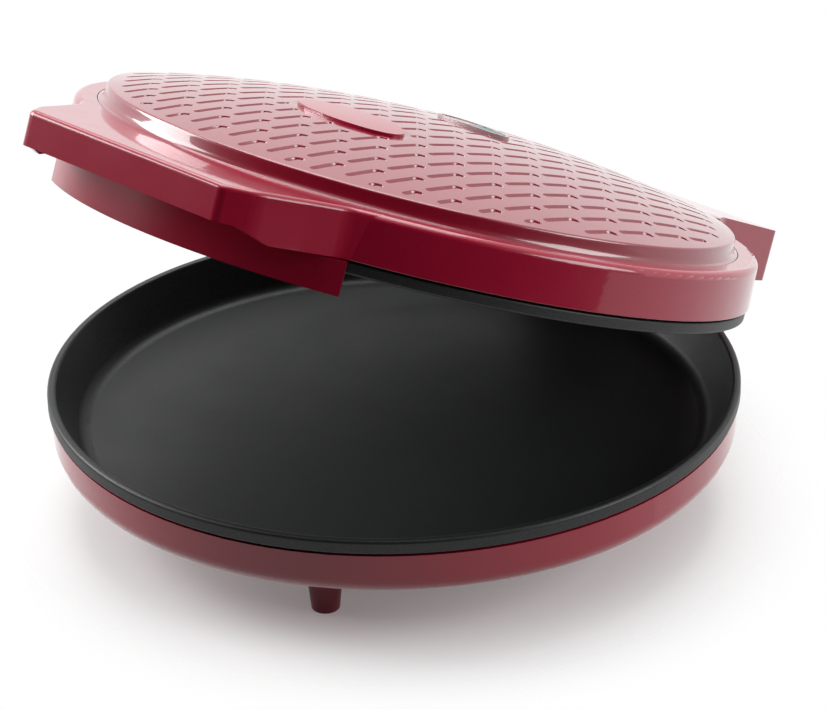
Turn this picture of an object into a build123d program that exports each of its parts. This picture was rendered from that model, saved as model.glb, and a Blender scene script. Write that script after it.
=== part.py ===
from build123d import *
import os
from math import cos, radians, sin, sqrt

os.makedirs("parts", exist_ok=True)

# Driving sizes of the base, in mm: the origin is on the table under the centre of the pan
pan_radius = 160.0
rim_top = 60.0
rim_height = 6.3
rim_width = 3.6
pan_floor = 38.0
pan_floor_radius = 145.0
plate_thickness = 3.0
seam_gap = 1.4
housing_radius = 159.2
housing_bottom = 16.0
housing_flat_radius = 112.0
housing_wall = 2.2
foot_x = 55.0
foot_y = 102.0
foot_radius = 8.0
foot_head_seat = 9.0
post_circle = 113.0
screw_radius = 2.0
screw_clearance = 0.1
head_radius = 3.6
head_height = 2.4
head_seat = 19.5

# Driving sizes of the hinge: the lid is modelled as far open as it is photographed
hinge_y = 181.0
hinge_z = 72.0
lid_opening = 21.9
lid_seat = rim_top + 0.3
pin_radius = 2.5
running_clearance = 0.05
lug_inner = 36.0
lug_outer = 49.0
lug_head_radius = 8.0
pad_face = 166.0
pad_half_width = 58.0
pad_low = 24.0
pad_high = 46.0
gland_z = 34.0

# Driving sizes of the lid, measured from the bottom edge of its plate
wall_bottom = 6.2
wall_radius = 160.5
flange_height = 27.8
flange_radius = 159.4
disk_radius = 146.5
disk_height = 35.0
dome_height = 51.7
shell_wall = 2.3
upper_rim_height = 5.0
upper_plate_radius = 159.4
upper_plate_floor = 8.0
lid_post_circle = 140.0
ledge_radius = 134.5
ledge_height = 26.0
ledge_thickness = 2.3
disk_foot_radius = 149.4
handle_front = 190.0
handle_half_width = 59.5
handle_bottom = 12.0
skirt_radius = 164.5
skirt_bottom = -9.2
skirt_half_angle = 33.0
block_half_width = 59.0
block_rear = 204.0
block_bottom = 2.0
block_top_rear = 26.8
block_top_front = 34.0
badge_y = -54.5
window_y = 30.0

# Heating elements: flat-sided tubes pressed against the plates, with a reflector behind each
element_radius = 95.0
element_width = 8.0
element_height = 6.5
element_start = 110.0
element_sweep = 320.0
reflector_radius = 103.0
reflector_thickness = 0.8
thermostat_y = -52.0

# The lid's own plane: its origin is the centre of the plate's bottom edge
seat_to_axis = hinge_z - lid_seat
lid_y = hinge_y * (1 - cos(radians(lid_opening))) - seat_to_axis * sin(radians(lid_opening))
lid_z = hinge_z + hinge_y * sin(radians(lid_opening)) - seat_to_axis * cos(radians(lid_opening))
lid = Plane(
    origin=(0, lid_y, lid_z),
    x_dir=(1, 0, 0),
    z_dir=(0, sin(radians(lid_opening)), cos(radians(lid_opening))),
)
lid_section = Plane(origin=lid.origin, x_dir=lid.x_dir, z_dir=-lid.y_dir)
lid_side = Plane(origin=lid.origin, x_dir=lid.y_dir, z_dir=lid.x_dir)
lid_axis = Axis(lid.origin, lid.z_dir)


def save(piece, name):
    piece.part.label = name
    export_step(piece.part, f"parts/{name}.step")


def radial_plane(frame, angle):
    """A plane through the axis of a frame, turned round it, with the radius as its x."""
    across = frame.x_dir * cos(radians(angle)) + frame.y_dir * sin(radians(angle))
    return Plane(origin=frame.origin, x_dir=across, z_dir=across.cross(frame.z_dir))


def dome_at(radius, top=dome_height, edge=disk_height):
    """Height of the domed top at a distance from the lid's centre."""
    rise = top - edge
    ball = (disk_radius**2 + rise**2) / (2 * rise)
    return top - ball + sqrt(ball**2 - radius**2)


# Pan: upright rim, slanted wall and flat floor, with a centre stud and three bosses below
pan_bottom = pan_floor - plate_thickness
boss_face = pan_bottom - element_height
with BuildPart() as lower_plate:
    with BuildSketch(Plane.XZ):
        with BuildLine():
            FilletPolyline(
                (0, pan_floor),
                (pan_floor_radius, pan_floor),
                (pan_radius - rim_width, rim_top),
                (pan_radius, rim_top),
                (pan_radius, rim_top - rim_height),
                (pan_radius - 6, rim_top - rim_height),
                (pan_floor_radius + 4, pan_bottom),
                (0, pan_bottom),
                radius=[7, 1.7, 1.7, 0.6, 1.5, 9],
            )
            Line((0, pan_bottom), (0, pan_floor))
        make_face()
    revolve(axis=Axis.Z)
    with BuildSketch(Plane.XY.offset(pan_bottom)):
        Circle(7)
        with PolarLocations(post_circle, 3, start_angle=90):
            Circle(4.8)
    extrude(amount=-element_height)
    with BuildSketch(Plane.XY.offset(boss_face)):
        Circle(screw_radius + screw_clearance)
        with PolarLocations(post_circle, 3, start_angle=90):
            Circle(screw_radius + screw_clearance)
    extrude(amount=element_height + 1, mode=Mode.SUBTRACT)
save(lower_plate, "lower_plate")

# Housing: a bowl whose side drops almost straight, then rounds under to a flat bottom
housing_top = rim_top - rim_height - seam_gap
bowl_corner = (housing_radius - 1.2, 34.2)


def bowl_section(inset):
    """Half section of the bowl, drawn in by a wall thickness."""
    with BuildSketch(Plane.XZ) as section:
        with BuildLine():
            FilletPolyline(
                (0, housing_bottom + inset),
                (housing_flat_radius - 0.3 * inset, housing_bottom + inset),
                (bowl_corner[0] - inset, bowl_corner[1] + 0.7 * inset),
                (housing_radius - inset, housing_top + inset),
                radius=[12, 9 - inset],
            )
            Line((housing_radius - inset, housing_top + inset), (0, housing_top + inset))
            Line((0, housing_top + inset), (0, housing_bottom + inset))
        make_face()
    return section.sketch


bowl_skin = bowl_section(0)
bowl_hollow = bowl_section(housing_wall)
with BuildPart() as lower_housing:
    add(bowl_skin)
    revolve(axis=Axis.Z)
    # flat pads under the bowl that the feet stand against
    with BuildSketch(Plane.XY.offset(housing_bottom)):
        with GridLocations(2 * foot_x, 2 * foot_y, 2, 2):
            Circle(foot_radius + 1)
    extrude(amount=8)
    # the hinge pad stands out at the rear, flat behind for the brackets and the cord entry
    with BuildSketch(Plane.YZ.offset(-pad_half_width)):
        with BuildLine():
            FilletPolyline(
                (120, pad_low - 5),
                (pad_face, pad_low),
                (pad_face, pad_high),
                (120, pad_high + 4),
                radius=1.5,
            )
            Line((120, pad_high + 4), (120, pad_low - 5))
        make_face()
    extrude(amount=2 * pad_half_width)
    add(bowl_hollow)
    revolve(axis=Axis.Z, mode=Mode.SUBTRACT)
    # posts that carry the reflector and the pan, and bosses for the screws of the feet
    with BuildSketch(Plane.XY.offset(housing_bottom + 1)):
        Circle(9)
    extrude(amount=boss_face - reflector_thickness - housing_bottom - 1)
    with BuildSketch(Plane.XY.offset(housing_bottom + 2)):
        with PolarLocations(post_circle, 3, start_angle=90):
            Circle(6)
    extrude(amount=boss_face - housing_bottom - 2)
    with BuildSketch(Plane.XY.offset(housing_bottom + 1)):
        with GridLocations(2 * foot_x, 2 * foot_y, 2, 2):
            Circle(5)
    extrude(amount=8.5)
    # screw holes, from below
    with BuildSketch(Plane.XY.offset(housing_bottom)):
        Circle(screw_radius + screw_clearance)
        with PolarLocations(post_circle, 3, start_angle=90):
            Circle(screw_radius + screw_clearance)
        with GridLocations(2 * foot_x, 2 * foot_y, 2, 2):
            Circle(screw_radius + screw_clearance)
    extrude(amount=14, mode=Mode.SUBTRACT)
    with BuildSketch(Plane.XY.offset(housing_bottom)):
        Circle(head_radius + 0.3)
        with PolarLocations(post_circle, 3, start_angle=90):
            Circle(head_radius + 0.3)
    extrude(amount=head_seat - housing_bottom, mode=Mode.SUBTRACT)
    # cord entry and bracket screws through the pad
    with BuildSketch(Plane.XZ.offset(-pad_face)):
        with Locations((0, gland_z)):
            Circle(6)
    extrude(amount=20, mode=Mode.SUBTRACT)
    with BuildSketch(Plane.XZ.offset(-pad_face)):
        for side in (-1, 1):
            with Locations((side * (lug_inner + lug_outer) / 2, (pad_low + pad_high) / 2)):
                with GridLocations(22, 11, 2, 2):
                    Circle(screw_radius + screw_clearance)
    extrude(amount=9, mode=Mode.SUBTRACT)
save(lower_housing, "lower_housing")

# Feet: tapered, round at the bottom, hollowed for the screw
foot_places = {
    "foot_front_left": (-foot_x, -foot_y),
    "foot_front_right": (foot_x, -foot_y),
    "foot_rear_left": (-foot_x, foot_y),
    "foot_rear_right": (foot_x, foot_y),
}
for foot_name, (x, y) in foot_places.items():
    with BuildPart() as foot:
        with BuildSketch(Plane.XY.offset(housing_bottom)):
            with Locations((x, y)):
                Circle(foot_radius)
        extrude(amount=-housing_bottom, taper=6)
        fillet(foot.faces().sort_by(Axis.Z)[0].edges(), radius=1)
        with Locations(Location((x, y, 0), (180, 0, 0))):
            CounterBoreHole(
                screw_radius + screw_clearance,
                head_radius + 0.3,
                foot_head_seat,
                depth=housing_bottom,
            )
    save(foot, foot_name)


# Screws from below: three and a centre one into the pan, one through each foot
def screw(place, length):
    """A pan-head screw: its head's seat is at the plane, its shank runs along the normal."""
    with BuildPart() as one:
        with BuildSketch(place):
            Circle(screw_radius)
        extrude(amount=length)
        with BuildSketch(place):
            Circle(head_radius)
        extrude(amount=-head_height)
        lowest = one.faces().sort_by(Axis(place.origin, place.z_dir))[0]
        fillet(lowest.edges(), radius=1)
    return one.part


def around(radius, count=3, start=90):
    """Points spaced evenly round an axis."""
    steps = [radians(start + 360 * k / count) for k in range(count)]
    return [(radius * cos(a), radius * sin(a)) for a in steps]


with BuildPart() as plate_screws:
    for x, y in [(0, 0)] + around(post_circle):
        add(screw(Plane((x, y, head_seat)), pan_bottom - head_seat))
save(plate_screws, "plate_screws")

with BuildPart() as foot_screws:
    for x, y in foot_places.values():
        add(screw(Plane((x, y, foot_head_seat)), 14))
save(foot_screws, "foot_screws")


# Heating elements: a flat-sided tube round most of a circle, its ends turned away from the plate
terminal_radius = 2.2
terminal_length = 13.0
terminal_angles = (element_start, element_start + element_sweep)


def terminal_points():
    return [(element_radius * cos(radians(a)), element_radius * sin(radians(a))) for a in terminal_angles]


def element(frame, flat_height, towards):
    """The flat side lies at a height, and the tube on the side it goes towards."""
    with BuildPart() as ring:
        with BuildSketch(radial_plane(frame, element_start)) as tube:
            with Locations((element_radius, flat_height + towards * element_height / 2)):
                Rectangle(element_width, element_height)
            fillet(tube.vertices(), radius=2)
        revolve(axis=Axis(frame.origin, frame.z_dir), revolution_arc=element_sweep)
        with BuildSketch(frame.offset(flat_height + 2 * towards)):
            with Locations(*terminal_points()):
                Circle(terminal_radius)
        extrude(amount=towards * (terminal_length - 2))
    return ring


lower_element = element(Plane.XY, pan_bottom, -1)
save(lower_element, "lower_element")


# Reflectors: thin dishes behind the elements, with a lip turned away from the plate
def reflector(frame, height, towards):
    with BuildPart() as dish:
        with BuildSketch(frame.offset(height)):
            Circle(reflector_radius)
        extrude(amount=towards * reflector_thickness)
        with BuildSketch(frame.offset(height)):
            Circle(reflector_radius)
            Circle(reflector_radius - reflector_thickness, mode=Mode.SUBTRACT)
        extrude(amount=towards * 3)
        with BuildSketch(frame.offset(height)):
            Circle(screw_radius + screw_clearance)
            with Locations((0, thermostat_y)):
                Circle(11)
            with Locations(*terminal_points()):
                Circle(terminal_radius + 2.5)
        extrude(amount=towards * reflector_thickness, mode=Mode.SUBTRACT)
    return dish


lower_reflector = reflector(Plane.XY, boss_face, -1)
save(lower_reflector, "lower_reflector")


# Thermostats: button discs held against the plates, with two blade terminals
def thermostat(frame, face_height, towards):
    with BuildPart() as button:
        with BuildSketch(frame.offset(face_height)):
            with Locations((0, thermostat_y)):
                SlotOverall(20, 9)
        extrude(amount=towards * 1.2)
        with BuildSketch(frame.offset(face_height)):
            with Locations((0, thermostat_y)):
                Circle(7.5)
        extrude(amount=towards * 7)
        with BuildSketch(frame.offset(face_height)):
            with Locations((0, thermostat_y)):
                Circle(5.5)
        extrude(amount=towards * 10)
        with BuildSketch(frame.offset(face_height + 10 * towards)):
            with Locations((-3.2, thermostat_y), (3.2, thermostat_y)):
                Rectangle(0.8, 5)
        extrude(amount=towards * 5)
    return button


lower_thermostat = thermostat(Plane.XY, pan_bottom, -1)
save(lower_thermostat, "lower_thermostat")

# Thermal fuse: a sleeve on two saddles on the reflector
with BuildPart() as thermal_fuse:
    with BuildSketch(Plane.YZ.offset(-13)):
        with Locations((48, boss_face + 2.6)):
            Circle(2.2)
    extrude(amount=26)
    with BuildSketch(Plane.XY.offset(boss_face)):
        with Locations((-8, 48), (8, 48)):
            Rectangle(3, 8)
    extrude(amount=2.6)
save(thermal_fuse, "thermal_fuse")


# Terminal blocks: three ways each, wires in at the sides and clamp screws above
def terminal_block(frame, y, height):
    with BuildPart() as block:
        with BuildSketch(frame.offset(height)):
            with Locations((0, y)):
                RectangleRounded(34, 18, 1.5)
        extrude(amount=8.5)
        with BuildSketch(frame.offset(height + 8.5)):
            with Locations((0, y)):
                with GridLocations(10.5, 9, 3, 2):
                    Circle(1.8)
        extrude(amount=-4, mode=Mode.SUBTRACT)
        side = Plane(origin=frame.origin + frame.y_dir * (y - 9), x_dir=frame.x_dir, z_dir=frame.y_dir)
        with BuildSketch(side):
            with Locations(*[(k * 10.5, -height - 4) for k in (-1, 0, 1)]):
                Circle(2)
        extrude(amount=18, mode=Mode.SUBTRACT)
    return block


base_block = terminal_block(Plane.XY, 86, housing_bottom + housing_wall)
save(base_block, "terminal_block")

# Cord entry: a flanged bush in the hinge pad
with BuildPart() as cord_gland:
    rear = Plane(origin=(0, pad_face, gland_z), x_dir=(-1, 0, 0), z_dir=(0, 1, 0))
    with BuildSketch(rear):
        Circle(9.5)
    extrude(amount=2.5)
    fillet(cord_gland.edges().sort_by(Axis.Y)[-1], radius=0.8)
    with BuildSketch(rear.offset(2.5)):
        Circle(6)
    extrude(amount=9, taper=5)
    with BuildSketch(rear):
        Circle(6)
    extrude(amount=-13)
    with BuildSketch(rear.offset(20)):
        Circle(3.4)
    extrude(amount=-40, mode=Mode.SUBTRACT)
save(cord_gland, "cord_gland")

# Hinge brackets: a screwed flange with one lug that reaches up into the lid's hinge block
flange_low = pad_low + 2
flange_high = pad_high - 2
flange_thickness = 4.0
lug_middle = (lug_inner + lug_outer) / 2
bracket_hole_x = 11.0
bracket_hole_z = 5.5
for side, side_name in ((-1, "left"), (1, "right")):
    with BuildPart() as hinge_bracket:
        rear = Plane(
            origin=(side * lug_middle, pad_face, (flange_low + flange_high) / 2),
            x_dir=(-1, 0, 0),
            z_dir=(0, 1, 0),
        )
        with BuildSketch(rear):
            RectangleRounded(30, flange_high - flange_low, 3)
        extrude(amount=flange_thickness)
        with BuildSketch(Plane.YZ.offset(side * lug_middle)):
            with BuildLine():
                FilletPolyline(
                    (pad_face, flange_high),
                    (pad_face, flange_low),
                    (pad_face + 7, flange_low),
                    (hinge_y + lug_head_radius, hinge_z - 18),
                    (hinge_y + lug_head_radius, hinge_z),
                    (hinge_y - lug_head_radius, hinge_z),
                    (hinge_y - lug_head_radius, flange_high),
                    radius=[0.5, 2, 10, 0.5, 0.5],
                )
                Line((hinge_y - lug_head_radius, flange_high), (pad_face, flange_high))
            make_face()
            with Locations((hinge_y, hinge_z)):
                Circle(lug_head_radius)
        extrude(amount=(lug_outer - lug_inner) / 2, both=True)
        with BuildSketch(Plane.YZ.offset(side * lug_middle)):
            with Locations((hinge_y, hinge_z)):
                Circle(pin_radius)
        extrude(amount=10, both=True, mode=Mode.SUBTRACT)
        with BuildSketch(rear):
            with GridLocations(2 * bracket_hole_x, 2 * bracket_hole_z, 2, 2):
                Circle(screw_radius + screw_clearance)
        extrude(amount=flange_thickness, mode=Mode.SUBTRACT)
    save(hinge_bracket, f"hinge_bracket_{side_name}")
    with BuildPart() as hinge_pin:
        with BuildSketch(Plane.YZ.offset(side * (lug_inner - 4.5))):
            with Locations((hinge_y, hinge_z)):
                Circle(pin_radius)
        extrude(amount=side * (lug_outer - lug_inner + 9))
        chamfer(hinge_pin.edges().filter_by(GeomType.CIRCLE), length=0.4)
    save(hinge_pin, f"hinge_pin_{side_name}")

with BuildPart() as bracket_screws:
    for side in (-1, 1):
        for x in (-bracket_hole_x, bracket_hole_x):
            for z in (-bracket_hole_z, bracket_hole_z):
                middle = (flange_low + flange_high) / 2
                seat = (side * lug_middle + x, pad_face + flange_thickness, middle + z)
                add(screw(Plane(origin=seat, z_dir=(0, -1, 0)), 12))
save(bracket_screws, "bracket_screws")

# Plate of the lid: a thick rim and a floor set back from it
plate_top = upper_plate_floor + plate_thickness
with BuildPart() as upper_plate:
    with BuildSketch(lid_section):
        with BuildLine():
            FilletPolyline(
                (0, upper_plate_floor),
                (146, upper_plate_floor),
                (153.5, 0),
                (upper_plate_radius, 0),
                (upper_plate_radius, upper_rim_height),
                (157, upper_rim_height + 0.6),
                (156.5, plate_top),
                (0, plate_top),
                radius=[3, 1.5, 1.2, 0.8, 0.3, 1],
            )
            Line((0, plate_top), (0, upper_plate_floor))
        make_face()
    revolve(axis=lid_axis)
    with BuildSketch(lid.offset(plate_top)):
        Circle(7)
    extrude(amount=element_height)
    with BuildSketch(lid.offset(upper_plate_floor)):
        with PolarLocations(lid_post_circle, 3, start_angle=90):
            Circle(screw_radius + screw_clearance)
    extrude(amount=plate_thickness, mode=Mode.SUBTRACT)
save(upper_plate, "upper_plate")

upper_element = element(lid, plate_top, 1)
save(upper_element, "upper_element")
reflector_seat = plate_top + element_height
upper_reflector = reflector(lid, reflector_seat, 1)
save(upper_reflector, "upper_reflector")
upper_thermostat = thermostat(lid, plate_top, 1)
save(upper_thermostat, "upper_thermostat")
lid_block = terminal_block(lid, 78, reflector_seat + reflector_thickness)
save(lid_block, "lid_terminal_block")


# Forms of the lid's grip and hinge block: drawn in by an inset, the same drawing gives the hollow
handle_half = [
    (0, -handle_front),
    (handle_half_width, -handle_front),
    (69, -177),
    (77.5, -155),
    (84.5, -138),
    (102, -119),
    (60, -90),
    (0, -90),
]
handle_corners = [5, 24, 40, 16, 1, 1]


def handle_form(inset):
    """The grip in front: its underside steps up towards the front edge."""
    with BuildPart() as form:
        with BuildSketch(lid.offset(wall_bottom)):
            with BuildLine():
                FilletPolyline(*handle_half, radius=handle_corners)
                mirror(about=Plane.YZ)
            make_face()
            if inset:
                offset(amount=-inset)
        extrude(amount=flange_height - inset - wall_bottom)
        if not inset:
            crest = form.faces().sort_by(lid_axis)[-1]
            fillet(crest.edges(), radius=2.4)
            with BuildSketch(lid_side.offset(-100)):
                with BuildLine():
                    FilletPolyline(
                        (-210, handle_bottom),
                        (-183, handle_bottom),
                        (-166, wall_bottom - 1),
                        (-210, wall_bottom - 1),
                        radius=[8, 0.1],
                    )
                    Line((-210, wall_bottom - 1), (-210, handle_bottom))
                make_face()
            extrude(amount=200, mode=Mode.SUBTRACT)
    return form.part


def block_form(inset):
    """The hinge block behind: its top ramps down from the disk to the rear."""
    low = block_bottom - 3 * inset
    with BuildPart() as form:
        with BuildSketch(lid.offset(low)):
            with BuildLine():
                FilletPolyline(
                    (0, block_rear - inset),
                    (block_half_width - inset, block_rear - inset),
                    (block_half_width + 4 - inset, 150),
                    (block_half_width + 16 - inset, 132),
                    (0, 100),
                    radius=[4, 18, 1],
                )
                mirror(about=Plane.YZ)
            make_face()
        extrude(amount=40 - low)
        with BuildSketch(lid_side.offset(-100)):
            with BuildLine():
                FilletPolyline(
                    (100, low),
                    (block_rear, low),
                    (block_rear, block_top_rear - inset),
                    (136, block_top_front - inset),
                    (100, block_top_front - inset),
                    radius=[0.8, 3, 1],
                )
                Line((100, block_top_front - inset), (100, low))
            make_face()
        extrude(amount=200, mode=Mode.INTERSECT)
    return form.part


def lid_ring(outer, inner, low, high):
    """A tube round the lid's axis."""
    with BuildPart() as ring:
        with BuildSketch(lid.offset(low)):
            Circle(outer)
            if inner:
                Circle(inner, mode=Mode.SUBTRACT)
        extrude(amount=high - low)
    return ring.part


# Forms ready for use: what stands inside the lid's wall is cut away from grip and block
wall_tube = lid_ring(wall_radius, 0, -20, 60)
inside_low = lid_ring(wall_radius - 1.7, 0, -20, ledge_height - 1.5)
inside_high = lid_ring(disk_foot_radius + 2.6, 0, -20, 60)
below_wall = lid_ring(wall_radius + 0.8, 0, -20, wall_bottom)
grip = handle_form(0) - (handle_form(shell_wall) - wall_tube) - inside_low - inside_high
block = block_form(0) - (block_form(shell_wall) - wall_tube) - inside_low - below_wall
axis_height = hinge_z - lid_seat
dome_ball = (disk_radius**2 + (dome_height - disk_height) ** 2) / (2 * (dome_height - disk_height))
dome_centre = lid.offset(dome_height - dome_ball).origin
badge_size = (60.0, 29.0)
window_size = (42.0, 17.0)


def on_dome(place, size, low, high, grow=0.0):
    """An oval plate bent to the dome, between two depths counted from its surface."""
    with BuildPart() as plate:
        with BuildSketch(lid.offset(35)):
            with Locations((0, place)):
                Ellipse(size[0] / 2 + grow, size[1] / 2 + grow)
        extrude(amount=30)
        with Locations(dome_centre):
            Sphere(dome_ball + high, mode=Mode.INTERSECT)
            Sphere(dome_ball + low, mode=Mode.SUBTRACT)
    return plate.part


badge_seat = on_dome(badge_y, badge_size, -0.8, 5, 0.15)
badge_form = on_dome(badge_y, badge_size, -0.8, 1.4)
window_hole = on_dome(window_y, window_size, -shell_wall - 2, 5, 0.15)

with BuildPart() as disk_room:
    with BuildSketch(lid_section):
        with BuildLine():
            Polyline(
                (0, ledge_height),
                (disk_foot_radius + 0.2, ledge_height),
                (disk_foot_radius + 0.2, flange_height + 0.1),
                (disk_radius + 0.2, disk_height + 0.1),
                (disk_radius + 0.2, 60),
                (0, 60),
                (0, ledge_height),
            )
        make_face()
    revolve(axis=lid_axis)

# Lid shell: tapered wall, flange, ledge for the disk, grip in front and hinge block behind
with BuildPart() as lid_shell:
    with BuildSketch(lid_section):
        with BuildLine():
            FilletPolyline(
                (ledge_radius + 8, ledge_height),
                (disk_foot_radius + 0.2, ledge_height),
                (disk_foot_radius + 0.2, flange_height),
                (flange_radius, flange_height),
                (wall_radius, wall_bottom),
                (wall_radius - shell_wall, wall_bottom),
                (flange_radius - shell_wall, ledge_height - ledge_thickness),
                (ledge_radius, ledge_height - ledge_thickness),
                (ledge_radius, ledge_height),
                radius=[0.2, 0.3, 3.4, 0.4, 0.4, 2, 0.5],
            )
            Line((ledge_radius, ledge_height), (ledge_radius + 8, ledge_height))
        make_face()
    revolve(axis=lid_axis)
    add(grip)
    add(block - disk_room.part)
    # ribs and blind bosses that carry the two hinge pins
    for side in (-1, 1):
        with BuildSketch(lid_side.offset(side * 30.5)):
            with Locations((hinge_y, axis_height)):
                Circle(6.5)
            with Locations((hinge_y, axis_height + 8)):
                Rectangle(13, 16)
        extrude(amount=side * 3.5)
        with BuildSketch(lid_side.offset(side * 51)):
            with Locations((hinge_y, axis_height)):
                Circle(6.5)
        extrude(amount=side * 7)
        with BuildSketch(lid_side.offset(side * 30)):
            with Locations((hinge_y, axis_height)):
                Circle(pin_radius + running_clearance)
        extrude(amount=side * 24, mode=Mode.SUBTRACT)
        # notch that the bracket's lug passes through as the lid turns
        with BuildSketch(lid_side.offset(side * (lug_inner - 1.5))):
            with Locations((block_rear, 9)):
                Rectangle(2 * shell_wall + 4, 28)
        extrude(amount=side * (lug_outer - lug_inner + 3), mode=Mode.SUBTRACT)
    # posts that hold the plate, and holes for the screws of the disk
    with BuildSketch(lid.offset(plate_top)):
        with PolarLocations(lid_post_circle, 3, start_angle=90):
            Circle(5)
    extrude(amount=ledge_height - 1 - plate_top)
    with BuildSketch(lid.offset(plate_top)):
        with PolarLocations(lid_post_circle, 3, start_angle=90):
            Circle(screw_radius + screw_clearance)
    extrude(amount=11, mode=Mode.SUBTRACT)
    with BuildSketch(lid.offset(ledge_height - 5)):
        with PolarLocations(lid_post_circle, 3, start_angle=30):
            Circle(screw_radius + screw_clearance)
    extrude(amount=6, mode=Mode.SUBTRACT)
save(lid_shell, "lid_shell")

# Disk: the raised domed top, with a riser and a foot that sits on the shell's ledge
with BuildPart() as lid_disk:
    with BuildSketch(lid_section) as profile:
        with BuildLine():
            edge = (disk_radius, disk_height)
            under = (disk_radius - shell_wall, disk_height - shell_wall)
            middle = disk_radius / 2
            ThreePointArc(edge, (middle, dome_at(middle)), (0, dome_height))
            ThreePointArc(under, (middle, dome_at(middle) - shell_wall), (0, dome_height - shell_wall))
            Line((0, dome_height), (0, dome_height - shell_wall))
            Polyline(
                edge,
                (disk_radius + 2.7, flange_height + 0.6),
                (disk_foot_radius, flange_height - 0.4),
                (disk_foot_radius, ledge_height),
                (disk_radius - 0.6, ledge_height),
                under,
            )
        make_face()
        rim = profile.vertices().sort_by_distance(Vector(*edge))[0]
        fillet(rim, radius=2.4)
    revolve(axis=lid_axis)
    # bosses for the screws from below, and the post that holds the reflector down
    with BuildSketch(lid.offset(ledge_height)):
        with PolarLocations(lid_post_circle, 3, start_angle=30):
            Circle(4.2)
    extrude(amount=dome_at(lid_post_circle) - 1.2 - ledge_height)
    with BuildSketch(lid.offset(ledge_height)):
        with PolarLocations(lid_post_circle, 3, start_angle=30):
            Circle(screw_radius + screw_clearance)
    extrude(amount=6.5, mode=Mode.SUBTRACT)
    with BuildSketch(lid.offset(reflector_seat + reflector_thickness)):
        Circle(7)
    extrude(amount=dome_height - 1 - reflector_seat - reflector_thickness)
    # arms that the lamp holder hangs from
    with BuildSketch(lid.offset(38)):
        with Locations((-27, window_y), (27, window_y)):
            RectangleRounded(6, 10, 1)
    extrude(amount=dome_at(42) - 1 - 38)
    add(badge_seat, mode=Mode.SUBTRACT)
    add(window_hole, mode=Mode.SUBTRACT)
save(lid_disk, "lid_disk")

with BuildPart() as disk_screws:
    for x, y in around(lid_post_circle, start=30):
        seat = lid.offset(ledge_height - ledge_thickness).from_local_coords((x, y, 0))
        add(screw(Plane(origin=seat, x_dir=lid.x_dir, z_dir=lid.z_dir), 8))
save(disk_screws, "lid_disk_screws")

with BuildPart() as badge_plate:
    add(badge_form)
save(badge_plate, "badge_plate")

# Indicator window: a frame with a bar across, and a lens on each side of the bar
with BuildPart() as lamp_bezel:
    add(on_dome(window_y, window_size, -shell_wall, 1.5))
    add(on_dome(window_y, window_size, -shell_wall, 5, -1.6), mode=Mode.SUBTRACT)
    with BuildSketch(lid.offset(40)):
        with Locations((0, window_y)):
            Rectangle(1.4, window_size[1] - 2)
    extrude(amount=12)
    with Locations(dome_centre):
        Sphere(dome_ball + 1.5, mode=Mode.INTERSECT)
        Sphere(dome_ball - shell_wall, mode=Mode.SUBTRACT)
save(lamp_bezel, "lamp_bezel")
lens_form = on_dome(window_y, window_size, -shell_wall, 1.1, -1.65)
for side, lens_name in ((-1, "power_lens"), (1, "ready_lens")):
    with BuildPart() as lens:
        add(lens_form)
        with BuildSketch(lid.offset(30)):
            with Locations((side * 15.75, window_y)):
                Rectangle(30, 30)
        extrude(amount=30, mode=Mode.INTERSECT)
    save(lens, lens_name)

# Lamps under the two lenses, standing in a holder between the arms
with BuildPart() as lamp_holder:
    with BuildSketch(lid.offset(35.5)):
        with Locations((0, window_y)):
            RectangleRounded(60, 10, 2)
    extrude(amount=2.5)
    with BuildSketch(lid.offset(35.5)):
        with Locations((-10, window_y), (10, window_y)):
            Circle(3)
    extrude(amount=2.5, mode=Mode.SUBTRACT)
save(lamp_holder, "lamp_holder")
for side, lamp_name in ((-1, "power_lamp"), (1, "ready_lamp")):
    with BuildPart() as lamp:
        with BuildSketch(lid.offset(33)):
            with Locations((side * 10, window_y)):
                Circle(2.95)
        extrude(amount=11)
        fillet(lamp.faces().sort_by(lid_axis)[-1].edges(), radius=2.5)
    save(lamp, lamp_name)

# Cover under the handle, with an arc-shaped skirt that hangs in front of the pan's rim
with BuildPart() as handle_skirt:
    with BuildSketch(lid.offset(handle_bottom)):
        with BuildLine():
            FilletPolyline(*handle_half, radius=handle_corners)
            mirror(about=Plane.YZ)
        make_face()
        offset(amount=-shell_wall - 0.2)
        Circle(wall_radius + 0.8, mode=Mode.SUBTRACT)
    extrude(amount=2.5)
    with BuildSketch(lid.offset(skirt_bottom)):
        with BuildLine():
            bend = [radians(-90 + k * skirt_half_angle) for k in (-1, 0, 1)]
            outside = [(skirt_radius * cos(a), skirt_radius * sin(a)) for a in bend]
            inside = [((skirt_radius - 2.5) * cos(a), (skirt_radius - 2.5) * sin(a)) for a in bend]
            ThreePointArc(*outside)
            ThreePointArc(*inside)
            Line(outside[0], inside[0])
            Line(outside[2], inside[2])
        make_face()
    extrude(amount=wall_bottom - 0.5 - skirt_bottom)
    with BuildSketch(lid.offset(wall_bottom - 1)):
        with BuildLine():
            bend = [radians(-90 + k * (skirt_half_angle - 6)) for k in (-1, 0, 1)]
            outside = [(skirt_radius * cos(a), skirt_radius * sin(a)) for a in bend]
            inside = [((skirt_radius - 2.5) * cos(a), (skirt_radius - 2.5) * sin(a)) for a in bend]
            ThreePointArc(*outside)
            ThreePointArc(*inside)
            Line(outside[0], inside[0])
            Line(outside[2], inside[2])
        make_face()
    extrude(amount=handle_bottom + 2 - wall_bottom)
save(handle_skirt, "handle_skirt")

with BuildPart() as lid_screws:
    for x, y in around(lid_post_circle):
        seat = lid.offset(upper_plate_floor).from_local_coords((x, y, 0))
        add(screw(Plane(origin=seat, x_dir=lid.x_dir, z_dir=lid.z_dir), 13))
save(lid_screws, "lid_plate_screws")
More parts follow.
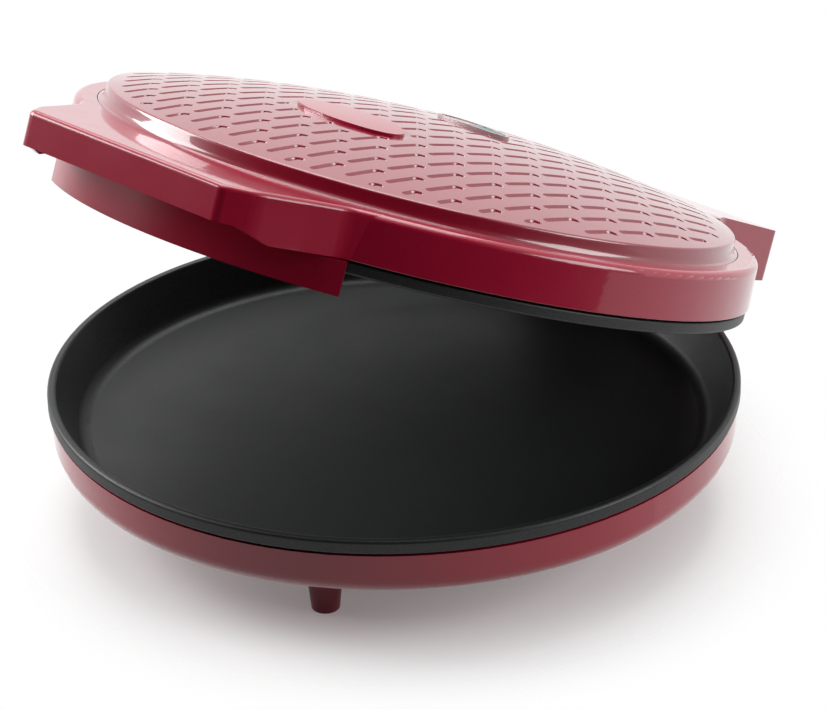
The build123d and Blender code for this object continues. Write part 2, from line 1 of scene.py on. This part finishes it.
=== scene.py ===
import bpy
from math import atan2, cos, hypot, pi, radians, sin, sqrt
from mathutils import Matrix, Vector
from mathutils.geometry import delaunay_2d_cdt


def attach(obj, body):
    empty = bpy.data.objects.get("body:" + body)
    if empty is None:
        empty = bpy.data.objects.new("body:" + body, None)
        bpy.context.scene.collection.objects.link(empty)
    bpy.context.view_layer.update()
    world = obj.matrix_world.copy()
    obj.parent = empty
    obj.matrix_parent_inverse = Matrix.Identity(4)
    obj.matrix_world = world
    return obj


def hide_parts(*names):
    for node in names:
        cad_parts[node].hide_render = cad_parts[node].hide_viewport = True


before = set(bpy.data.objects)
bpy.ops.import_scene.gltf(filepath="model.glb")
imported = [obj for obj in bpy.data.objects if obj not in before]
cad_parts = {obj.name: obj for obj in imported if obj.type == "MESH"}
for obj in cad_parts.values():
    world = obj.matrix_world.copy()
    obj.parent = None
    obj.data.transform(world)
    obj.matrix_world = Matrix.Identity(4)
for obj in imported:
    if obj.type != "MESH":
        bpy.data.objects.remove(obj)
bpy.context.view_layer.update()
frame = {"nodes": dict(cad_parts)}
nodes = frame["nodes"]
scene = bpy.context.scene
scene.view_settings.view_transform = "Standard"
MM = 0.001

# The lid's own frame, as far open as it is photographed
OPENING = radians(21.9)
HINGE = (181.0, 72.0)
SEAT_TO_AXIS = 11.7
LID_Y = HINGE[0] * (1 - cos(OPENING)) - SEAT_TO_AXIS * sin(OPENING)
LID_Z = HINGE[1] + HINGE[0] * sin(OPENING) - SEAT_TO_AXIS * cos(OPENING)


def lid_point(x, y, h):
    """A point of the lid, in mm in its own frame, as a place in the scene."""
    return Vector((
        x * MM,
        (LID_Y + y * cos(OPENING) + h * sin(OPENING)) * MM,
        (LID_Z - y * sin(OPENING) + h * cos(OPENING)) * MM,
    ))


def circle_points(radius, count):
    """Points evenly round a circle."""
    turns = [2 * pi * k / count for k in range(count)]
    return [(radius * cos(t), radius * sin(t)) for t in turns]


# Materials
FINE_BUMP = 0.0004
GRAIN_BUMP = 0.0006


def shader_of(mat):
    return mat.node_tree.nodes["Principled BSDF"]


def surface_of(mat):
    return mat.node_tree.nodes["Material Output"].inputs["Surface"]


def material(name, color, rough=0.4, metal=0.0, coat=0.0, coat_rough=0.03, specular=0.5):
    mat = bpy.data.materials.new(name)
    mat.use_nodes = True
    shader = shader_of(mat)
    shader.inputs["Base Color"].default_value = (*color, 1)
    shader.inputs["Roughness"].default_value = rough
    shader.inputs["Metallic"].default_value = metal
    shader.inputs["Coat Weight"].default_value = coat
    shader.inputs["Coat Roughness"].default_value = coat_rough
    shader.inputs["Specular IOR Level"].default_value = specular
    return mat


def add_node(mat, kind, **settings):
    """A node with its sockets set by name, or its own settings where no socket has the name."""
    node = mat.node_tree.nodes.new(kind)
    for key, value in settings.items():
        if key in node.inputs:
            node.inputs[key].default_value = value
        else:
            setattr(node, key, value)
    return node


def link(mat, out, into):
    mat.node_tree.links.new(out, into)


def noise(mat, scale, detail=3.0, roughness=0.55):
    place = add_node(mat, "ShaderNodeTexCoord")
    grain = add_node(mat, "ShaderNodeTexNoise", Scale=scale, Detail=detail, Roughness=roughness)
    link(mat, place.outputs["Object"], grain.inputs["Vector"])
    return grain.outputs["Fac"]


def ramp(mat, source, low, high, color_a, color_b):
    """Two colours, blended between two values of a source."""
    node = add_node(mat, "ShaderNodeValToRGB")
    ends = node.color_ramp.elements
    ends[0].position = low
    ends[1].position = high
    ends[0].color = (*color_a, 1)
    ends[1].color = (*color_b, 1)
    link(mat, source, node.inputs["Fac"])
    return node.outputs["Color"]


def span(mat, source, low, high):
    """A source from nought to one, stretched between two values."""
    node = add_node(mat, "ShaderNodeMapRange")
    node.inputs["To Min"].default_value = low
    node.inputs["To Max"].default_value = high
    link(mat, source, node.inputs["Value"])
    return node.outputs["Result"]


def bump(mat, source, strength, distance, socket="Normal"):
    node = add_node(mat, "ShaderNodeBump", Strength=strength, Distance=distance)
    link(mat, source, node.inputs["Height"])
    link(mat, node.outputs["Normal"], shader_of(mat).inputs[socket])


def lacquer(name, dark, light, rough=0.3, specular=0.5, coat_ior=1.5):
    """Red metallic lacquer under a clear coat: fine flakes, and a faint orange peel."""
    mat = material(name, light, rough=rough, coat=1.0, coat_rough=0.04, specular=specular)
    shader_of(mat).inputs["Coat IOR"].default_value = coat_ior
    flakes = noise(mat, scale=2600.0, detail=2.0, roughness=0.7)
    link(mat, ramp(mat, flakes, 0.35, 0.68, dark, light), shader_of(mat).inputs["Base Color"])
    wear = noise(mat, scale=60.0, detail=4.0)
    link(mat, span(mat, wear, rough - 0.05, rough + 0.07), shader_of(mat).inputs["Roughness"])
    peel = noise(mat, scale=420.0, detail=1.5)
    bump(mat, peel, 0.03, FINE_BUMP, socket="Coat Normal")
    return mat


def coating(name, dark, light, rough):
    """Non-stick coating: dark, satin, with fine speckle and a pebbled surface."""
    mat = material(name, dark, rough=rough, specular=0.35)
    speckle = noise(mat, scale=1500.0, detail=3.0, roughness=0.8)
    link(mat, ramp(mat, speckle, 0.5, 0.74, dark, light), shader_of(mat).inputs["Base Color"])
    cloud = noise(mat, scale=35.0, detail=4.0)
    link(mat, span(mat, cloud, rough - 0.06, rough + 0.08), shader_of(mat).inputs["Roughness"])
    grain = noise(mat, scale=900.0)
    bump(mat, grain, 0.12, GRAIN_BUMP)
    return mat


def metal(name, dark, light, rough):
    """Bare metal, with a slow change of tone and a fine grain."""
    mat = material(name, light, rough=rough, metal=1.0)
    tone = noise(mat, scale=90.0, detail=4.0)
    link(mat, ramp(mat, tone, 0.3, 0.7, dark, light), shader_of(mat).inputs["Base Color"])
    link(mat, span(mat, tone, rough - 0.07, rough + 0.1), shader_of(mat).inputs["Roughness"])
    bump(mat, noise(mat, scale=400.0), 0.05, FINE_BUMP)
    return mat


def plastic(name, dark, light, rough, grain_scale=800.0, strength=0.08, coat=0.0):
    """Plastic, ceramic or glass, with a slow change of tone and a fine grain."""
    mat = material(name, light, rough=rough, coat=coat)
    tone = noise(mat, scale=70.0, detail=4.0)
    link(mat, ramp(mat, tone, 0.3, 0.7, dark, light), shader_of(mat).inputs["Base Color"])
    link(mat, span(mat, tone, rough - 0.05, rough + 0.06), shader_of(mat).inputs["Roughness"])
    bump(mat, noise(mat, scale=grain_scale, detail=2.0), strength, FINE_BUMP)
    return mat


def lens(name, dark, light, rough, coat=0.0):
    """Smooth coloured plastic or glass of the indicator lamps."""
    return plastic(name, dark, light, rough, grain_scale=300.0, strength=0.02, coat=coat)


red = lacquer("red_lacquer", (0.27, 0.002, 0.02), (0.41, 0.005, 0.038), specular=0.3, coat_ior=1.42)
# The grooved disk gets a darker copy of the lid's red lacquer: painted shade, so that the disk, its
# grooves and its riser read deeper than the shell
red_disk_painted_shade = lacquer("red_lacquer_disk_painted_shade", (0.2, 0.002, 0.016), (0.3, 0.004, 0.028))
red_housing = lacquer(
    "red_lacquer_housing", (0.28, 0.002, 0.016), (0.42, 0.004, 0.03), specular=0.1, coat_ior=1.42)
pan_dark = coating("pan_coating", (0.01, 0.0105, 0.011), (0.045, 0.047, 0.05), 0.42)
zinc = metal("zinc_steel", (0.42, 0.42, 0.43), (0.62, 0.62, 0.63), 0.36)
sheath = metal("element_sheath", (0.10, 0.095, 0.09), (0.2, 0.19, 0.18), 0.5)
bright = metal("bright_aluminium", (0.66, 0.66, 0.68), (0.8, 0.8, 0.81), 0.24)
foot_red = plastic("foot_red", (0.2, 0.006, 0.02), (0.27, 0.008, 0.03), 0.38)
black = plastic("black_plastic", (0.012, 0.012, 0.013), (0.022, 0.022, 0.023), 0.5)
ceramic = plastic(
    "white_ceramic", (0.62, 0.6, 0.56), (0.74, 0.72, 0.68), 0.6, grain_scale=1200.0, strength=0.15)
bezel_grey = plastic(
    "bezel_grey", (0.4, 0.3, 0.31), (0.48, 0.37, 0.38), 0.3, grain_scale=900.0, strength=0.02, coat=0.2)
# The power lamp's red lens is a pale pinkish grey: a painted highlight over its own red
lens_red_painted_highlight = lens("lens_red_painted_highlight", (0.34, 0.17, 0.18), (0.42, 0.23, 0.24), 0.2, coat=0.4)
lens_green = lens("lens_green", (0.0, 0.1, 0.08), (0.0, 0.2, 0.16), 0.3)
lamp_glass = lens("lamp_glass", (0.7, 0.42, 0.3), (0.85, 0.6, 0.45), 0.1, coat=1.0)

node_materials = {
    "lower_housing": red_housing, "lid_shell": red, "handle_skirt": red, "lid_disk": red_disk_painted_shade,
    "lower_plate": pan_dark, "upper_plate": pan_dark,
    "plate_screws": zinc, "foot_screws": zinc, "bracket_screws": zinc, "lid_plate_screws": zinc,
    "lid_disk_screws": zinc, "hinge_bracket_left": zinc, "hinge_bracket_right": zinc,
    "hinge_pin_left": zinc, "hinge_pin_right": zinc,
    "lower_element": sheath, "upper_element": sheath,
    "lower_reflector": bright, "upper_reflector": bright,
    "foot_front_left": foot_red, "foot_front_right": foot_red,
    "foot_rear_left": foot_red, "foot_rear_right": foot_red,
    "cord_gland": black, "lamp_holder": black,
    "lower_thermostat": ceramic, "upper_thermostat": ceramic, "thermal_fuse": ceramic,
    "terminal_block": ceramic, "lid_terminal_block": ceramic,
    "badge_plate": red, "lamp_bezel": bezel_grey,
    "power_lens": lens_red_painted_highlight, "ready_lens": lens_green,
    "power_lamp": lamp_glass, "ready_lamp": lamp_glass,
}
for name, node in nodes.items():
    node.data.materials.clear()
    node.data.materials.append(node_materials[name])

# Dome of the grooved disk, in mm: its ovals are given by their centre and half axes
DISK_R, DISK_H, DOME_H, WALL = 146.5, 35.0, 51.7, 2.3
RISE = DOME_H - DISK_H
BALL = (DISK_R**2 + RISE**2) / (2 * RISE)
SEGMENTS = 360
BADGE, BADGE_POINTS = (0.0, -54.5, 30.0, 14.5), 96
WINDOW, WINDOW_POINTS = (0.0, 30.0, 21.0, 8.5), 80
SEAT_GAP, SEAT_DEPTH, SEAT_ROOM = 0.15, 0.8, 0.02
EDGE_ROUND = 0.25
# Growth and depth of the rings that round the edge of a seat or hole
EDGE_RINGS = [(0.05, 0.06), (0.0, 0.2)]


def dome(x, y):
    return DOME_H - BALL + sqrt(BALL**2 - x * x - y * y)


def ellipse(place, grow, count):
    cx, cy, a, b = place
    turns = [2 * pi * k / count for k in range(count)]
    return [(cx + (a + grow) * cos(t), cy + (b + grow) * sin(t)) for t in turns]


def outside(point, place, grow):
    cx, cy, a, b = place
    return ((point[0] - cx) / (a + grow)) ** 2 + ((point[1] - cy) / (b + grow)) ** 2 > 1


# Grooves: a straight leg, a bend and a short hook, repeated in columns that step by half a pitch
GROOVE_PITCH_Y, GROOVE_PITCH_X = 25.4, 11.7
GROOVE_START = (63.8, -44.2)
GROOVE_COLUMNS, GROOVE_ROWS = range(-25, 14), range(-8, 9)
LEG, BEND_R, BEND, HOOK = 16.0, 2.4, radians(52), 1.1
LEG_STEPS, BEND_STEPS, HOOK_STEPS = 16, 4, 3
FEWEST_POINTS = 6
PATTERN_R, BADGE_CLEAR, WINDOW_CLEAR = 140.6, 4.2, 4.0
# Half width and depth of each ring of a groove, from the flat of the dome to its bottom
GROOVE_RINGS = [(1.6, 0.0), (1.48, 0.1), (1.35, 0.4), (1.15, 0.9), (0.85, 1.25), (0.4, 1.35)]
GROOVE_HALF = GROOVE_RINGS[0][0]
CAP_STEPS = 6
BEND_SHOWS, LONGEST_STEP = 0.02, 4


def groove_line(x, y):
    """Centre line of one groove, in steps of about a millimetre, clipped where the pattern ends."""
    points = [(x, y + LEG * k / LEG_STEPS) for k in range(LEG_STEPS)]
    for k in range(BEND_STEPS + 1):
        t = BEND * k / BEND_STEPS
        points.append((x + BEND_R * (1 - cos(t)), y + LEG + BEND_R * sin(t)))
    bend = points[-1]
    for k in range(1, HOOK_STEPS + 1):
        along = HOOK * sin(BEND) * k / HOOK_STEPS
        up = HOOK * cos(BEND) * k / HOOK_STEPS
        points.append((bend[0] + along, bend[1] + up))
    keep, best = [], []
    for p in points:
        free = (
            hypot(*p) < PATTERN_R
            and outside(p, BADGE, BADGE_CLEAR)
            and outside(p, WINDOW, WINDOW_CLEAR)
        )
        keep = keep + [p] if free else []
        if len(keep) > len(best):
            best = keep
    return best


def thin(line):
    """Keeps the ends of straight stretches, and every point where the line bends."""
    out = [line[0]]
    for k in range(1, len(line) - 1):
        a = Vector(line[k]) - Vector(line[k - 1])
        b = Vector(line[k + 1]) - Vector(line[k])
        bends = abs(a.normalized().cross(b.normalized())) > BEND_SHOWS
        far = hypot(line[k][0] - out[-1][0], line[k][1] - out[-1][1]) > LONGEST_STEP
        if bends or far:
            out.append(line[k])
    return out + [line[-1]]


def groove_cap(end):
    """Pairs of a base point and a direction, round one end of a groove."""
    place, side = end
    start = atan2(side.y, side.x)
    turns = [start - pi * k / CAP_STEPS for k in range(1, CAP_STEPS)]
    return [(place, Vector((cos(t), sin(t)))) for t in turns]


def groove_rails(line):
    """Pairs of a base point and a unit direction, once round the groove's centre line."""
    left = []
    for k, p in enumerate(line):
        a = line[max(k - 1, 0)]
        b = line[min(k + 1, len(line) - 1)]
        d = Vector((b[0] - a[0], b[1] - a[1])).normalized()
        left.append((Vector(p), Vector((-d.y, d.x))))
    right = [(p, -n) for p, n in reversed(left)]
    first = (left[0][0], -left[0][1])
    return left + groove_cap(left[-1]) + right + groove_cap(first)


def all_grooves():
    grooves = []
    for i in GROOVE_COLUMNS:
        for j in GROOVE_ROWS:
            x = GROOVE_START[0] + i * GROOVE_PITCH_X
            y = GROOVE_START[1] + j * GROOVE_PITCH_Y + (i % 2) * GROOVE_PITCH_Y / 2
            line = groove_line(x, y)
            if len(line) >= FEWEST_POINTS:
                grooves.append(groove_rails(thin(line)))
    return grooves


# Points between the grooves, which keep the dome's triangles small
FILL_RING_R, FILL_RING_POINTS = 144.2, 240
FILL_PITCH, FILL_STEPS, FILL_R = 5.7, 24, 142
FILL_OVAL_CLEAR, FILL_START_CLEAR, FILL_GROOVE_CLEAR, FILL_NEAR_X = 1.5, 2.2, 1.9, 8


def near_groove(p, grooves, loops):
    if any(hypot(p[0] - loop[0][0], p[1] - loop[0][1]) < FILL_START_CLEAR for loop in loops):
        return True
    v = Vector(p)
    for rails in grooves:
        if abs(rails[0][0].x - p[0]) >= FILL_NEAR_X:
            continue
        if any((v - base).length < GROOVE_HALF + FILL_GROOVE_CLEAR for base, _ in rails):
            return True
    return False


def fill_points(grooves, loops):
    points = circle_points(FILL_RING_R, FILL_RING_POINTS)
    for ix in range(-FILL_STEPS, FILL_STEPS + 1):
        for iy in range(-FILL_STEPS, FILL_STEPS + 1):
            p = (ix * FILL_PITCH, iy * FILL_PITCH)
            free = (
                hypot(*p) <= FILL_R
                and outside(p, BADGE, FILL_OVAL_CLEAR)
                and outside(p, WINDOW, FILL_OVAL_CLEAR)
            )
            if free and not near_groove(p, grooves, loops):
                points.append(p)
    return points


def inside(c, loop):
    odd = False
    for k in range(len(loop)):
        x1, y1 = loop[k - 1]
        x2, y2 = loop[k]
        if (y1 > c.y) != (y2 > c.y) and c.x < (x2 - x1) * (c.y - y1) / (y2 - y1) + x1:
            odd = not odd
    return odd


def triangulate(loops, extra, drop):
    """Triangles between the loops.

    A triangle that lies inside one of the loops numbered in drop, with all its corners on it, is left out.
    """
    points, edges, owner = [], [], []
    for number, loop in enumerate(loops):
        first = len(points)
        points += [Vector(p) for p in loop]
        owner += [number] * len(loop)
        edges += [(first + k, first + (k + 1) % len(loop)) for k in range(len(loop))]
    points += [Vector(p) for p in extra]
    owner += [-1] * len(extra)
    result = delaunay_2d_cdt(points, edges, [], 0, 1e-6)
    flat, faces, source = result[0], result[2], result[3]
    if len(flat) != len(points):
        raise RuntimeError("the plan's loops cross each other")
    back = [s[0] for s in source]
    triangles = []
    for f in faces:
        ids = [back[i] for i in f]
        owners = {owner[i] for i in ids}
        number = owner[ids[0]]
        if len(owners) == 1 and number in drop:
            c = sum((points[i] for i in ids), Vector((0, 0))) / 3
            if inside(c, loops[number]):
                continue
        triangles.append(ids)
    return points, triangles


# Rim, riser, foot and underside of the disk, as radius and height
CREASE = 24
RIM_ROUND = 1.3
RIM_START = DISK_R - RIM_ROUND
RIM_ANGLES = (20, 32, 44, 56, 68, 80)
UNDERSIDE_R = 143.6
RISER_PROFILE = [
    (DISK_R + 0.1, 33.2), (DISK_R + 0.35, 30.4), (DISK_R + 0.65, 29.1), (DISK_R + 1.25, 28.2),
    (DISK_R + 2.1, 27.75), (149.3, 27.6), (149.4, 27.2), (149.4, 26.05), (145.9, 26.05),
    (144.4, 31.0), (UNDERSIDE_R, 33.2),
]
UNDER_PITCH, UNDER_STEPS, UNDER_R, UNDER_CLEAR = 12.0, 11, 138, 2


def rim_profile():
    """The rounded rim in the steps of RIM_ANGLES, then the riser and foot."""
    rim = []
    for degrees in RIM_ANGLES:
        a = radians(degrees)
        rim.append((RIM_START + RIM_ROUND * sin(a), dome(RIM_START, 0) - RIM_ROUND * (1 - cos(a))))
    return rim + RISER_PROFILE


def under_points():
    points = []
    for ix in range(-UNDER_STEPS, UNDER_STEPS + 1):
        for iy in range(-UNDER_STEPS, UNDER_STEPS + 1):
            p = (ix * UNDER_PITCH, iy * UNDER_PITCH)
            if hypot(*p) < UNDER_R and outside(p, WINDOW, UNDER_CLEAR):
                points.append(p)
    return points


def grooved_disk():
    """The dome with its grooves, its seat for the badge, the window's hole, its riser and underside."""
    verts, faces = [], []

    def put(x, y, h):
        verts.append(lid_point(x, y, h))
        return len(verts) - 1

    def strip(a, b):
        n = len(a)
        for k in range(n):
            faces.append((a[k], a[(k + 1) % n], b[(k + 1) % n], b[k]))

    def step(ring, place, grow, depth):
        loop = ellipse(place, grow, len(ring))
        lower = [put(x, y, dome(x, y) - depth) for x, y in loop]
        strip(ring, lower)
        return lower

    # top, whose loops are the rim, the badge's seat, the window's hole and the grooves
    grooves = all_grooves()
    circle = circle_points(RIM_START, SEGMENTS)
    badge_loop = ellipse(BADGE, SEAT_GAP + EDGE_ROUND, BADGE_POINTS)
    window_loop = ellipse(WINDOW, SEAT_GAP + EDGE_ROUND, WINDOW_POINTS)
    groove_loops = [[tuple(p + n * GROOVE_HALF) for p, n in rails] for rails in grooves]
    loops = [circle, badge_loop, window_loop] + groove_loops
    points, triangles = triangulate(
        loops, fill_points(grooves, groove_loops), set(range(1, len(loops))))
    top = [put(p.x, p.y, dome(p.x, p.y)) for p in points]
    faces += [tuple(top[i] for i in t) for t in triangles]
    start = len(circle)
    seat = top[start:start + len(badge_loop)]
    start += len(badge_loop)
    hole = top[start:start + len(window_loop)]
    start += len(window_loop)

    # grooves: rings down to the bottom, closed by a strip between its two sides
    for rails in grooves:
        count = len(rails)
        ring = top[start:start + count]
        start += count
        for width, depth in GROOVE_RINGS[1:]:
            lower = []
            for p, n in rails:
                q = p + n * width
                lower.append(put(q.x, q.y, dome(q.x, q.y) - depth))
            strip(ring, lower)
            ring = lower
        cap_points = CAP_STEPS - 1
        sides = (count - 2 * cap_points) // 2
        left = ring[:sides]
        right = ring[sides + cap_points:2 * sides + cap_points][::-1]
        for k in range(sides - 1):
            faces.append((left[k], left[k + 1], right[k + 1], right[k]))
        faces.append((left[-1], *ring[sides:sides + cap_points], right[-1]))
        faces.append((right[0], *ring[2 * sides + cap_points:], left[0]))

    # seat of the badge, and the wall of the window's hole
    for grow, depth in EDGE_RINGS:
        seat = step(seat, BADGE, SEAT_GAP + grow, depth)
    seat = step(seat, BADGE, SEAT_GAP, SEAT_DEPTH + SEAT_ROOM)
    middle = put(BADGE[0], BADGE[1], dome(BADGE[0], BADGE[1]) - SEAT_DEPTH - SEAT_ROOM)
    for k in range(len(seat)):
        faces.append((seat[k], seat[(k + 1) % len(seat)], middle))
    for grow, depth in EDGE_RINGS:
        hole = step(hole, WINDOW, SEAT_GAP + grow, depth)
    hole = step(hole, WINDOW, SEAT_GAP, WALL)

    # rim, riser and foot, turned round the lid's axis
    ring = top[:len(circle)]
    for radius, h in rim_profile():
        lower = [put(radius * x / RIM_START, radius * y / RIM_START, h) for x, y in circle]
        strip(lower, ring)
        ring = lower

    # underside
    inner = [(x * UNDERSIDE_R / RIM_START, y * UNDERSIDE_R / RIM_START) for x, y in circle]
    hole_loop = ellipse(WINDOW, SEAT_GAP, len(hole))
    points, triangles = triangulate([inner, hole_loop], under_points(), {1})
    added = points[len(inner) + len(hole_loop):]
    under = ring + hole + [put(p.x, p.y, dome(p.x, p.y) - WALL) for p in added]
    faces += [tuple(under[i] for i in reversed(t)) for t in triangles]

    mesh = bpy.data.meshes.new("lid_disk_grooved")
    mesh.from_pydata(verts, [], faces)
    mesh.validate()
    for polygon in mesh.polygons:
        polygon.use_smooth = True
    mesh.set_sharp_from_angle(angle=radians(CREASE))
    piece = bpy.data.objects.new("lid_disk_grooved", mesh)
    scene.collection.objects.link(piece)
    mesh.materials.append(red_disk_painted_shade)
    return piece


disk = grooved_disk()
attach(disk, "lid")
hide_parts("lid_disk")

# Camera, fitted to the photograph: its focal length and shifts are in pixels of the photograph
AZIMUTH, ELEVATION, ROLL = radians(44.57), radians(26.88), radians(1.27)
DISTANCE, TARGET = 1.8, Vector((0, 0, 0.06))
FOCAL, WIDTH, SENSOR = 3893.4, 826, 36
SHIFT_X, SHIFT_Y = 19.33, 17.26
FARTHEST = 50


def place_camera():
    back = Vector((sin(AZIMUTH) * cos(ELEVATION), -cos(AZIMUTH) * cos(ELEVATION), sin(ELEVATION)))
    right = Vector((cos(AZIMUTH), sin(AZIMUTH), 0))
    up = back.cross(right)
    x_axis = right * cos(ROLL) - up * sin(ROLL)
    y_axis = right * sin(ROLL) + up * cos(ROLL)
    camera = bpy.data.objects.new("camera", bpy.data.cameras.new("camera"))
    scene.collection.objects.link(camera)
    turn = Matrix((x_axis, y_axis, back)).transposed().to_4x4()
    camera.matrix_world = Matrix.Translation(TARGET + back * DISTANCE) @ turn
    camera.data.sensor_fit = "HORIZONTAL"
    camera.data.sensor_width = SENSOR
    camera.data.lens = FOCAL * SENSOR / WIDTH
    camera.data.shift_x = SHIFT_X / WIDTH
    camera.data.shift_y = SHIFT_Y / WIDTH
    camera.data.clip_end = FARTHEST
    scene.camera = camera


place_camera()

# Light: one soft lamp above, one from the front left and one from the rear right
LAMP_AIM = Vector((0, 0, 0.1))


def lamp(name, place, size, power):
    data = bpy.data.lights.new(name, "AREA")
    data.energy = power
    data.shape = "RECTANGLE"
    data.size, data.size_y = size
    obj = bpy.data.objects.new(name, data)
    scene.collection.objects.link(obj)
    obj.location = place
    away = Vector(place) - LAMP_AIM
    obj.rotation_euler = away.to_track_quat("Z", "Y").to_euler()


lamp("soft_top", (-0.5, 0.5, 1.7), size=(1.6, 1.6), power=34)
lamp("soft_left", (-1.75, -0.8, 1.0), size=(1.3, 1.2), power=46)
lamp("soft_right", (1.7, 0.8, 0.9), size=(1.2, 1.0), power=24)

# World: white to the camera and in reflections, plain pale grey as light
WORLD_LIGHT, WORLD_SEEN = 0.3, 1.0


def seen_rays(nodes, links):
    """One where a camera, glossy or transmission ray meets the surface."""
    rays = nodes.new("ShaderNodeLightPath")
    total = rays.outputs["Is Camera Ray"]
    for kind in ("Is Glossy Ray", "Is Transmission Ray"):
        more = nodes.new("ShaderNodeMath")
        more.operation = "MAXIMUM"
        links.new(total, more.inputs[0])
        links.new(rays.outputs[kind], more.inputs[1])
        total = more.outputs[0]
    return total


def background(tree, strength):
    node = tree.nodes.new("ShaderNodeBackground")
    node.inputs["Color"].default_value = (1, 1, 1, 1)
    node.inputs["Strength"].default_value = strength
    return node.outputs["Background"]


def make_world():
    world = bpy.data.worlds.new("studio")
    scene.world = world
    world.use_nodes = True
    tree = world.node_tree
    tree.nodes.clear()
    mix = tree.nodes.new("ShaderNodeMixShader")
    out = tree.nodes.new("ShaderNodeOutputWorld")
    tree.links.new(seen_rays(tree.nodes, tree.links), mix.inputs["Fac"])
    tree.links.new(background(tree, WORLD_LIGHT), mix.inputs[1])
    tree.links.new(background(tree, WORLD_SEEN), mix.inputs[2])
    tree.links.new(mix.outputs["Shader"], out.inputs["Surface"])


make_world()


def mix_shaders(mat, factor, first, second):
    """The first shader where the factor is nought, and the second where it is one."""
    node = add_node(mat, "ShaderNodeMixShader")
    link(mat, factor, node.inputs[0])
    link(mat, first, node.inputs[1])
    link(mat, second, node.inputs[2])
    return node.outputs[0]


def stage_object(name, verts, faces, mat):
    mesh = bpy.data.meshes.new(name)
    mesh.from_pydata(verts, [], faces)
    mesh.materials.append(mat)
    obj = bpy.data.objects.new(name, mesh)
    scene.collection.objects.link(obj)
    return obj


# Dark screen round the front and both sides, unseen by the camera, so that upright red faces stay deep.
# Its angles are in degrees from the right-hand side, and it fades out over SCREEN_SOFT at both ends.
SCREEN_RADIUS, SCREEN_BOTTOM, SCREEN_TOP = 2.6, -0.3, 4.6
SCREEN_FROM, SCREEN_TO, SCREEN_SOFT, SCREEN_STEPS = -188, 50, 45, 60


def screen_clear(angle):
    """How see-through the screen is at an angle: nought in its middle, one at its two ends."""
    near_end = min(angle - SCREEN_FROM, SCREEN_TO - angle) / SCREEN_SOFT
    t = min(max(near_end, 0.0), 1.0)
    return 1 - t * t * (3 - 2 * t)


def screen_material():
    mat = material("screen", (0.012, 0.012, 0.012), rough=0.9, specular=0.1)
    edge = add_node(mat, "ShaderNodeAttribute", attribute_name="clear")
    gap = add_node(mat, "ShaderNodeBsdfTransparent")
    shader = mix_shaders(mat, edge.outputs["Fac"], shader_of(mat).outputs[0], gap.outputs[0])
    link(mat, shader, surface_of(mat))
    return mat


def make_screen():
    reach = SCREEN_TO - SCREEN_FROM
    angles = [SCREEN_FROM + reach * k / SCREEN_STEPS for k in range(SCREEN_STEPS + 1)]
    verts, clearness = [], []
    for angle in angles:
        for height in (SCREEN_BOTTOM, SCREEN_TOP):
            a = radians(angle)
            verts.append((SCREEN_RADIUS * cos(a), SCREEN_RADIUS * sin(a), height))
            clearness.append(screen_clear(angle))
    faces = [(2 * k, 2 * k + 2, 2 * k + 3, 2 * k + 1) for k in range(SCREEN_STEPS)]
    obj = stage_object("screen", verts, faces, screen_material())
    clear = obj.data.attributes.new("clear", "FLOAT", "POINT")
    clear.data.foreach_set("value", clearness)
    obj.visible_camera = False
    return obj


screen = make_screen()

# Floor: white to the camera, with the object's shadow, and fading into the white round it
FLOOR_RADIUS, FLOOR_POINTS = 0.3, 64
FADE_FROM, FADE_TO, FLOOR_WHITE = 0.115, 0.215, 0.15
FLOOR_COLOR = (0.96, 0.96, 0.96)
# The floor is darker to light that bounces off it, so that it doesn't brighten the object from below
FLOOR_BOUNCE = (0.25, 0.25, 0.25)
# Colour sockets of a Mix node
COLOR_A, COLOR_B, COLOR_OUT = 6, 7, 2


def floor_material():
    mat = material("floor", FLOOR_COLOR, rough=0.3, specular=0.3)
    rays = add_node(mat, "ShaderNodeLightPath")
    color = add_node(mat, "ShaderNodeMix", data_type="RGBA")
    color.inputs[COLOR_A].default_value = (*FLOOR_COLOR, 1)
    color.inputs[COLOR_B].default_value = (*FLOOR_BOUNCE, 1)
    link(mat, rays.outputs["Is Diffuse Ray"], color.inputs[0])
    link(mat, color.outputs[COLOR_OUT], shader_of(mat).inputs["Base Color"])

    # a share of plain white, where the floor is seen
    white = add_node(mat, "ShaderNodeEmission", Strength=1.0)
    share = add_node(mat, "ShaderNodeMath", operation="MULTIPLY")
    share.inputs[1].default_value = FLOOR_WHITE
    link(mat, seen_rays(mat.node_tree.nodes, mat.node_tree.links), share.inputs[0])
    lit = mix_shaders(mat, share.outputs[0], shader_of(mat).outputs[0], white.outputs[0])

    # see-through away from the object
    place = add_node(mat, "ShaderNodeTexCoord")
    reach = add_node(mat, "ShaderNodeVectorMath", operation="LENGTH")
    fade = add_node(mat, "ShaderNodeMapRange", interpolation_type="SMOOTHSTEP")
    fade.inputs["From Min"].default_value = FADE_FROM
    fade.inputs["From Max"].default_value = FADE_TO
    clear = add_node(mat, "ShaderNodeBsdfTransparent")
    link(mat, place.outputs["Object"], reach.inputs[0])
    link(mat, reach.outputs["Value"], fade.inputs["Value"])
    link(mat, mix_shaders(mat, fade.outputs["Result"], lit, clear.outputs[0]), surface_of(mat))
    return mat


floor_verts = [(x, y, 0) for x, y in circle_points(FLOOR_RADIUS, FLOOR_POINTS)]
floor = stage_object("floor", floor_verts, [tuple(range(FLOOR_POINTS))], floor_material())
